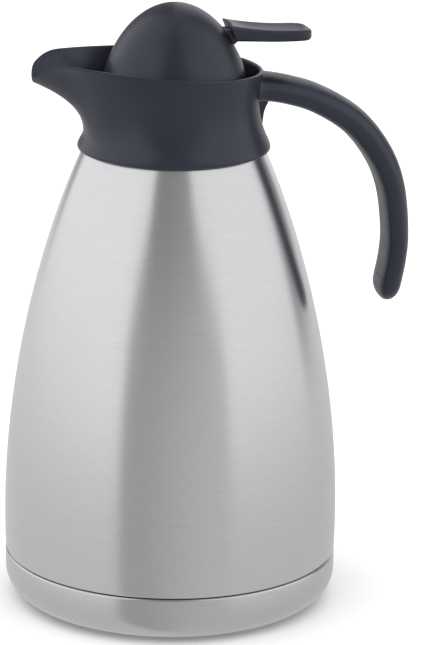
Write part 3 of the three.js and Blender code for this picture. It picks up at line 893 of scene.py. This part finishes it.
def handle_section(share):
    """An oval, with a channel in its inner side, as out and y."""
    half, mouth = half_width(share), HANDLE_MOUTH * half_width(share) / half_width(0)
    back = arc(GRIP_MIDDLE, 0, HANDLE_BACK - GRIP_MIDDLE, half, -90, 90, 36)
    across = [mix(half, mouth, (k / 12) ** 1.6) for k in range(1, 13)]
    side = [(grip_face(share, y), y) for y in across]
    depth = CHANNEL_DEPTH if CHANNEL[0] < share < CHANNEL[1] else 0.0
    face = [(grip_face(share, y, depth), y) for y in (mix(mouth, 0, k / 8) for k in range(9))]
    front = side + face
    return back + front + [(out, -y) for out, y in reversed(front[:-1])]


def handle_ring(share, scale=1.0):
    """The section at a share of the length, in space, scaled about the middle line."""
    section = handle_section(min(share, 1.0))
    return [handle_line.place(share, out * scale, y * scale) for out, y in section]


def root_spread(share):
    """How much the section widens into its fillet at the collar."""
    return 1 + ROOT_SPREAD * max(0.0, 1 - (share - ROOT_START) / ROOT_FILLET) ** 2


def make_handle_shell():
    lip = 0.001  # length of the steps at the channel's ends
    ends = [CHANNEL[0], CHANNEL[0] + lip, CHANNEL[1] - lip, CHANNEL[1]]
    tip_start = TIP_END - TIP_ROUND / handle_line.total
    closer = 1.15  # rings are closer together at the collar
    shares = ends + [mix(ROOT_START, tip_start, (k / 120) ** closer) for k in range(121)]

    reach = []  # how far each point of the first ring is from the collar's wall, along X
    for p in handle_ring(ROOT_START, root_spread(ROOT_START)):
        reach.append(math.sqrt(wall_radius(p.z) ** 2 - p.y * p.y) - JOINT_GAP - p.x)
    rings = []
    for share in sorted(shares):
        fade = 1 - smooth(ROOT_START, ROOT_START + ROOT_FADE, share)
        here = handle_ring(share, root_spread(share))
        rings.append([(p.x + move * fade, p.y, p.z) for p, move in zip(here, reach)])
    tip_rings, tip_turn = 14, 6.2  # degrees from one ring of the round tip to the next
    for k in range(1, tip_rings + 1):
        lean = math.radians(tip_turn * k)
        share = tip_start + TIP_ROUND * math.sin(lean) / handle_line.total
        rings.append([tuple(p) for p in handle_ring(share, math.cos(lean))])
    shell = make_piece("handle_body", *skin(rings), charcoal, 60)
    place(shell, "vessel", "charcoal_plastic", "handle_shell")


def make_handle_cover():
    """The strip in the channel, almost flush with the grip, with a sink for the screw."""
    end_gap, side_gap, sunk, foot = 0.0008, 0.12, 0.03, 1.8
    rings = []
    for k in range(111):
        share = mix(CHANNEL[0] + end_gap, CHANNEL[1] - end_gap, k / 110)
        half = (HANDLE_MOUTH - side_gap) * half_width(share) / half_width(0)
        lines = [half * j / 12 for j in range(12, -13, -1)]
        section = [(grip_face(share, y, sunk), y) for y in lines]
        section += [(grip_face(share, y, foot), y) for y in reversed(lines)]
        rings.append([tuple(handle_line.place(share, out, y)) for out, y in section])
    cover = make_piece("handle_strip", *skin(rings), charcoal, 50)
    cut(cover, cylinder("sink", handle_line.place(SCREW_SHARE, -9, 0),
                        handle_line.place(SCREW_SHARE, SCREW_OUT + 0.8, 0), 3.0, charcoal, 48))
    place(cover, "vessel", "charcoal_plastic", "handle_cover")


def make_handle_screw():
    head_r, head_depth, shank_r, shank_end = 2.6, 0.75, 1.4, 1.4
    head = cylinder("handle_screw_head", handle_line.place(SCREW_SHARE, SCREW_OUT, 0),
                    handle_line.place(SCREW_SHARE, SCREW_OUT + head_depth, 0), head_r,
                    wire_steel, 48, 0.3)
    for quarter in (0, 1):
        cut(head, cross_slot(SCREW_SHARE, SCREW_OUT, quarter))
    shank = cylinder("shank", handle_line.place(SCREW_SHARE, SCREW_OUT + 0.7, 0),
                     handle_line.place(SCREW_SHARE, shank_end, 0), shank_r, wire_steel, 32)
    cut(head, shank, "UNION")
    place(head, "vessel", "spring_steel", "handle_screw")


def cross_slot(share, outer, quarter):
    """One bar of the cross recess in a screw's head."""
    a = handle_line.place(share, outer - 0.5, 0)
    b = handle_line.place(share, outer + 0.6, 0)
    depth = (b - a).normalized()
    side = Vector((0, 1, 0)) if quarter else Vector((0, 1, 0)).cross(depth)
    other = depth.cross(side)
    long_half, short_half = 1.45, 0.3
    rings = []
    for p, taper in ((a, 1.0), (b, 0.7)):
        rings.append([p + side * x * long_half * taper + other * y * short_half * taper
                      for x, y in ((-1, -1), (1, -1), (1, 1), (-1, 1))])
    return make_piece("slot", *skin(rings), wire_steel)


# ---- Lid and stopper ----

DOME_CURVE = ((0, DOME_TOP), (14.6, DOME_TOP), (27.4, 265.7), (DOME_R, 247.5))


def prism(name, corners, x0, x1):
    """A bar along X whose section is given as y and z."""
    return make_piece(name, *skin([[(x, y, z) for y, z in corners] for x in (x0, x1)]), charcoal)


def make_dome():
    line = [*bezier(*DOME_CURVE, 70), (DOME_R, 246.5), (DOME_R, SKIRT_Z + 0.5),
            (DOME_R - 0.2, SKIRT_Z)]
    inside = beside([*bezier(*DOME_CURVE, 30), (DOME_R, SKIRT_Z)], -DOME_WALL)
    dome = turned("dome_cover", line + inside[::-1], charcoal, 240)
    lever_slot = rounded([(-6, 256.5), (6, 256.5), (6, 268.3), (-6, 268.3)], 1.2)
    cut(dome, prism("slot", lever_slot, 14, 40))
    place(dome, "lid", "charcoal_plastic", "lid_dome")


def make_stopper():
    """The hollow plug, with ridges of thread, three pour windows and an air window."""
    groove_r = 26.5
    plug = [
        (11, 204), (26.6, 204), (PLUG_R, 205.4), (PLUG_R, 208.6), (groove_r, 208.8),
        (groove_r, 213.2), (PLUG_R, 213.4), (PLUG_R, 228.7), (PLUG_THREAD_R, 228.8),
    ]
    threaded = [(PLUG_THREAD_R, mix(229.6, 237.6, k / 34)) for k in range(35)]
    top = [(PLUG_THREAD_R, 238.2), (30, 238.5), (30, 243.5), (PLUG_R, 243.5), (PLUG_R, 237.5),
           (24.6, 235), (24.6, 206.2), (11, 206.2)]
    outline = rounded(plug, 0.5, False) + threaded + rounded(top, 0.4, False)

    def ridge(angle, r, z):
        if r < 30.5 or not 229.5 < z < 238:
            return 0.0
        return ridge_height(angle, z, THREAD_ANGLE, THREAD_Z)

    stopper = turned("stopper_plug", outline, charcoal, 216, 40, ridge)
    for turn, wide in ((-32, 5.6), (0, 5.6), (32, 5.6), (180, 3.0)):
        corners = rounded([(-wide, 238.9), (wide, 238.9), (wide, 242.9), (-wide, 242.9)], 0.8)
        window = prism("window", corners, -36, -22)
        window.data.transform(Matrix.Rotation(math.radians(turn), 4, "Z"))
        cut(stopper, window)
    place(stopper, "lid", "charcoal_plastic", "stopper_body")


def make_lid_seals():
    ring = [(26.9, 209.2), (28.2, 209.2), (28.75, 209.8), (28.3, 210.5), (28.3, 210.9),
            (28.75, 211.5), (28.3, 212.2), (28.1, 212.8), (26.9, 212.8)]
    gasket = turned("plug_seal", rounded(ring, 0.35), silicone, 160)
    place(gasket, "lid_gasket", "grey_silicone", "stopper_gasket")

    oring = turned("stem_seal", arc(3.6, 246.55, 0.78, 0.82, 0, 337.5, 15), black_rubber, 48)
    place(oring, "lid", "black_rubber", "stem_oring")


def across_pivot(name, half_length, radius, material, *detail):
    """A rod on the lever's hinge axis."""
    ends = [(PIVOT_X, side * half_length, PIVOT_Z) for side in (-1, 1)]
    return cylinder(name, *ends, radius, material, *detail)


def make_lid_insert():
    """The hinge pin, and the bulkhead with the two ears that hold it."""
    place(across_pivot("hinge_pin", 8.6, 1.5, wire_steel), "lid", "spring_steel", "lever_pin")

    plate = turned("bulkhead", rounded([
        (2.9, 243.9), (29.8, 243.9), (29.8, 246.2), (8, 246.2), (8, 249), (4.7, 249),
        (4.7, 245.4), (2.9, 245.4)], 0.3), charcoal, 96)
    for side in (-1, 1):
        ear = [(12.8, 245.9), (21.2, 245.9), (19.6, 262.6), (14.4, 262.6)]
        rings = [[(x, side * y, z) for x, z in rounded(ear, 1.6)] for y in (5.8, 7.8)]
        cut(plate, make_piece("ear", *skin(rings), charcoal), "UNION")
    cut(plate, across_pivot("hole", 12, 1.8, charcoal))
    place(plate, "lid", "charcoal_plastic", "lid_insert")


# ---- Lever and valve ----

PAD_TOP = [(21, 271), (24, 270.3), (28, 269.5), (36, 268.3), (44, 267.5), (51, 267.2), (57, 267.1),
           (61, 266.8), (LEVER_TIP, 265.8)]
PAD_BOTTOM = [(21, 263.3), (28, 262.9), (36, 262.5), (46, 262.1), (56, 262.1), (61.6, 262.3),
              (LEVER_TIP, 263.2)]
PAD_NOSE = ((54, LEVER_HALF), (60.5, LEVER_HALF), (LEVER_TIP, 7), (LEVER_TIP, 0))
PAD_BACK = 27.4  # middle of the pad's rear edge
SCOOP = 1.3  # depth of the hollow for the thumb


def height_on(line, x):
    """The height of a line of x and z at one x."""
    for (x0, z0), (x1, z1) in zip(line, line[1:]):
        if x <= x1:
            return mix(z0, z1, (x - x0) / (x1 - x0))
    return line[-1][1]


def dome_front(y, z):
    """How far out the pad's rear edge is, a little off the dome's surface."""
    radius = mix(33.2, 25.1, (z - 250) / 22)
    return math.sqrt(radius * radius - y * y)


def pad_section(half, room, scoop):
    """Half a section, from the bottom over to the top: how far across, on which of the two
    faces (0 or 1), and how far in from it."""
    edge = min(1.3, 0.3 * room, 0.45 * half)
    flat = half - edge
    right = [(flat * k / 4, 0, 0) for k in range(5)]
    right += [(flat + edge * math.sin(a), 0, edge * (1 - math.cos(a)))
              for a in (math.radians(18 * k) for k in range(1, 6))]
    right += [(flat + edge * math.cos(a), 1, edge * (1 - math.sin(a)))
              for a in (math.radians(18 * k) for k in range(5))]
    return right + [(flat * k / 9, 1, scoop * (1 - (k / 9) ** 2)) for k in range(9, -1, -1)]


def pad_ring(top_line, bottom_line, x_mid, half):
    """One section across the pad, always with the same number of points."""
    room = height_on(top_line, x_mid) - height_on(bottom_line, x_mid)
    scoop = SCOOP * (half / LEVER_HALF) ** 2 * smooth(PAD_BACK, PAD_BACK + 6, x_mid)
    pull = 1 - smooth(PAD_BACK, PAD_BACK + 9, x_mid)  # 1 where the pad follows the dome
    right = pad_section(half, room, scoop)
    points = []
    for y, level, inset in right + [(-y, level, inset) for y, level, inset in right[-2:0:-1]]:
        x = x_mid
        for _ in range(3):
            bottom, top = height_on(bottom_line, x), height_on(top_line, x)
            z = top - inset if level else bottom + inset
            x = x_mid + (dome_front(y, z) - PAD_BACK) * pull
        points.append((x, y, z))
    return points


def make_lever():
    """The pad, joined to a neck, a hub on the pin, and a fork of two tines for the stem."""
    lines = catmull_rom(PAD_TOP, 10), catmull_rom(PAD_BOTTOM, 10)
    stations = [(mix(PAD_BACK, PAD_NOSE[0][0], k / 44), LEVER_HALF) for k in range(44)]
    stations += [bezier_at(*PAD_NOSE, k / 36) for k in range(36)]
    stations.append((LEVER_TIP, 0.05))
    rings = [pad_ring(*lines, x, half) for x, half in stations]
    pad = make_piece("lever_pad", *skin(rings), charcoal, 50)
    neck_line = [(15.5, 263.8), (22.4, 267.4), (30, 267.2), (30, 263.4), (24.6, 258.8),
                 (19, 256.3)]
    neck = slab("neck", rounded(neck_line, 1.0), -4.6, 4.6, 0.5)
    hub = across_pivot("hub", 5.2, 4.2, charcoal, 64, 0.4)
    tine_line = [(-2, 257.6), (-2, 259.7), (-1.4, 260.2), (7, 260.2), (14, 262.6), (15, 257)]
    cut(pad, neck, "UNION")
    cut(pad, hub, "UNION")
    for side in (-1, 1):
        low, high = sorted((side * 3.3, side * 5.1))
        cut(pad, slab("tine", rounded(tine_line, 0.5), low, high, 0.3), "UNION")
    cut(pad, across_pivot("bore", 9, 1.75, charcoal))
    place(pad, "lever", "charcoal_plastic", "thumb_lever")


def slab(name, outline, y0, y1, bevel):
    """An outline of x and z with thickness along Y and a bevel on both faces."""
    middle = Vector((sum(p[0] for p in outline), sum(p[1] for p in outline))) / len(outline)
    rings = []
    for y, inset in ((y0, bevel), (y0 + bevel, 0), (y1 - bevel, 0), (y1, bevel)):
        ring = []
        for p in outline:
            toward = middle - Vector(p)
            x, z = Vector(p) + toward * min(1, inset / toward.length)
            ring.append((x, y, z))
        rings.append(ring)
    return make_piece(name, *skin(rings), charcoal)


def make_valve():
    groove_r = STEM_R - 0.6
    stem = turned("stem_rod", rounded([
        (0, 205.6), (4.6, 205.6), (5, 206), (5, PLATE_Z - 0.35), (STEM_R, PLATE_Z - 0.35),
        (STEM_R, CLIP_Z - 0.1), (groove_r, CLIP_Z - 0.1), (groove_r, CLIP_Z + 0.9),
        (STEM_R, CLIP_Z + 0.9), (STEM_R, STEM_HEAD_Z), (5.6, STEM_HEAD_Z), (5.6, 262),
        (4.8, 262.6), (0, 262.6)], 0.25, False), wire_steel, 64)
    place(stem, "valve", "spring_steel", "valve_stem")
    ring = [(2.85, PLATE_Z), (13.2, PLATE_Z), (13.2, 208.9), (7, 208.9), (6.4, 208.4),
            (4, 208.4), (3.6, 208.9), (2.85, 208.9)]
    plate = turned("valve_disc", rounded(ring, 0.35), charcoal, 96)
    place(plate, "valve", "charcoal_plastic", "valve_plate")
    seal = turned("valve_ring", rounded([(9.6, 206.95), (9.6, 206.55), (11.2, 206.4), (13, 206.6),
                                         (13, 206.95)], 0.2), silicone, 96)
    place(seal, "valve", "grey_silicone", "valve_seal")
    clip = turned("clip_ring", rounded([(2.25, 209.4), (4.8, 209.4), (4.8, 210.05),
                                        (2.25, 210.05)], 0.12), wire_steel, 64)
    mouth = slab("mouth", [(0, 207), (8, 207), (8, 212), (0, 212)], -1.7, 1.7, 0.1)
    cut(clip, mouth)
    place(clip, "valve", "spring_steel", "stem_clip")


def make_spring():
    """The coil round the stem, built as one fixed shape; on the jug it shortens as the lever lifts
    the valve.
    """
    wire, coil_r, turns, per_turn = 0.5, 4.4, 5, 40
    low = CLIP_Z + 1.8
    count = turns * per_turn
    path = []
    for k in range(count + 1):
        angle = 2 * math.pi * k / per_turn
        rise = mix(low, SPRING_TOP, k / count)
        path.append(Vector((coil_r * math.cos(angle), coil_r * math.sin(angle), rise)))
    spring = make_piece("valve_spring", *tube(path, wire, 12), wire_steel)
    place(spring, "lid", "spring_steel", "return_spring")
    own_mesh(spring)


def make_getter():
    tablet = cylinder("getter_disc", (30, 0, 16.8), (30, 0, 19.2), 6, getter_grey, 64, 0.4)
    place(tablet, "vessel", "getter", "getter_tablet")


# ---- Stage, light and camera ----

CAMERA_AZIMUTH = -12  # degrees about the jug's axis from looking along +Y, and metres
CAMERA_DISTANCE = 1.6025
CAMERA_HEIGHT = 0.5999
CAMERA_PITCH = 16.343
CAMERA_YAW = 0.684
CAMERA_ROLL = 0.759
LENS = 201.8


def make_camera():
    data = bpy.data.cameras.new("camera")
    data.lens = LENS
    data.sensor_width = 36
    data.clip_start, data.clip_end = 0.05, 50
    camera = add_object("camera", data)
    heading = math.radians(CAMERA_AZIMUTH)
    camera.location = (
        CAMERA_DISTANCE * math.sin(heading),
        -CAMERA_DISTANCE * math.cos(heading),
        CAMERA_HEIGHT,
    )
    turn = Matrix.Rotation(math.radians(CAMERA_AZIMUTH - CAMERA_YAW), 4, "Z")
    tilt = Matrix.Rotation(math.radians(90 - CAMERA_PITCH), 4, "X")
    roll = Matrix.Rotation(math.radians(CAMERA_ROLL), 4, "Z")
    camera.rotation_euler = (turn @ tilt @ roll).to_euler()
    bpy.context.scene.camera = camera


def make_floor():
    n = Nodes("pale_floor")
    cloud = n.noise(n.place(), 3.0, 2.0)
    n.set(
        Base_Color=n.mottle(cloud, shade(0.9, 0.9, 0.9), shade(0.92, 0.92, 0.92)),
        Roughness=0.9,
        Specular_IOR_Level=0.1,
    )
    sides, radius, below = 96, 6000, 0.2
    angles = [2 * math.pi * k / sides for k in range(sides)]
    rim = [Vector((radius * math.cos(a), radius * math.sin(a), 0)) * MM for a in angles]
    mesh = bpy.data.meshes.new("floor")
    mesh.from_pydata(rim, [], [list(range(sides))])
    mesh.materials.append(n.material)
    floor = add_object("floor", mesh)
    floor.location.z = -below * MM
    floor.visible_glossy = False


class World(Tree):
    """The world's node tree."""

    def __init__(self):
        world = bpy.data.worlds.new("studio")
        world.use_nodes = True
        bpy.context.scene.world = world
        super().__init__(world.node_tree)
        self.tree.nodes.clear()

    def step(self, value, low, high, to_low=0.0, to_high=1.0):
        """A smooth step of the value from to_low, at low, to to_high, at high."""
        return self.span(value, to_low, to_high, low, high, "SMOOTHSTEP")

    def turn_step(self, turn, low, high, to_low=0.0, to_high=1.0):
        """The same for an angle, between two angles in degrees."""
        return self.step(turn, math.radians(low), math.radians(high), to_low, to_high)


def studio_light(w, turn, z):
    """The studio's brightness by direction, as a turn to the right of the camera, in radians,
    and a height: white walls, a dimmer gap in front that narrows upwards, a darker ceiling,
    and two dark panels behind that end a little below the horizon."""
    gap_left = w.step(z, 0.1, 0.5, math.radians(35.5), math.radians(23))
    gap_right = w.step(z, 0.08, 0.5, math.radians(42), math.radians(22))
    left_edge = w.step(w.math("ADD", turn, gap_left), -0.03, 0.04)
    right_edge = w.step(w.math("SUBTRACT", gap_right, turn), -0.05, 0.07)
    gap = w.times(left_edge, right_edge)
    wall_light = w.times(w.step(z, -0.33, 0.1, 0.68, 1.07), w.step(turn, 0.0, 0.3, 1.0, 0.94))
    gap_light = w.times(w.step(turn, -0.6, 0.6, 0.44, 0.62), w.step(z, 0.0, 0.45, 1.0, 0.62))
    light = w.math("ADD", w.times(wall_light, w.math("SUBTRACT", 1.0, gap)),
                   w.times(gap_light, gap))
    light = w.times(light, w.step(z, 0.45, 0.95, 1.0, 0.7))
    behind_left = w.turn_step(turn, -152, -138, 0.75, 0.0)
    behind_right = w.times(w.turn_step(turn, 112, 122), w.turn_step(turn, 142, 152, 0.75, 0.0))
    dark = w.times(w.math("ADD", behind_left, behind_right), w.step(z, -0.15, -0.03))
    return w.times(light, w.math("SUBTRACT", 1.0, dark))


def make_world():
    """The studio lights the jug and shows in its reflections. The camera sees plain white."""
    w = World()
    where = w.add("TexCoord").outputs["Generated"]
    x, y, z = w.add("SeparateXYZ", Vector=where).outputs
    heading = math.radians(CAMERA_AZIMUTH)
    front = w.math("SUBTRACT", w.times(x, math.sin(heading)), w.times(y, math.cos(heading)))
    right = w.math("ADD", w.times(x, math.cos(heading)), w.times(y, math.sin(heading)))
    light = studio_light(w, w.math("ARCTAN2", right, front), z)
    white = shade(1.0, 1.0, 1.0)
    studio = w.add("Background", Color=white, Strength=light)
    plain = w.add("Background", Color=white)
    by_camera = w.add("LightPath").outputs["Is Camera Ray"]
    seen = w.add("MixShader")
    for socket, value in zip(seen.inputs, (by_camera, studio.outputs[0], plain.outputs[0])):
        w.feed(socket, value)
    w.add("OutputWorld", Surface=seen.outputs[0])


def make_lights():
    """A wide soft light from above that lights the floor evenly and isn't seen in reflections."""
    data = bpy.data.lights.new("overhead", "SUN")
    data.energy = 2.4
    data.angle = math.radians(100)
    add_object("overhead", data).visible_glossy = False


def set_look():
    view = bpy.context.scene.view_settings
    view.view_transform = "Standard"
    view.look = "None"


make_camera()
make_floor()
make_world()
make_lights()
set_look()
make_flask()
make_liner()
make_vacuum_parts()
make_base()
make_rest_pad()
make_collar()
make_collar_rings()
make_handle_shell()
make_handle_cover()
make_handle_screw()
make_dome()
make_stopper()
make_lid_seals()
make_lid_insert()
make_lever()
make_valve()
make_spring()
make_getter()
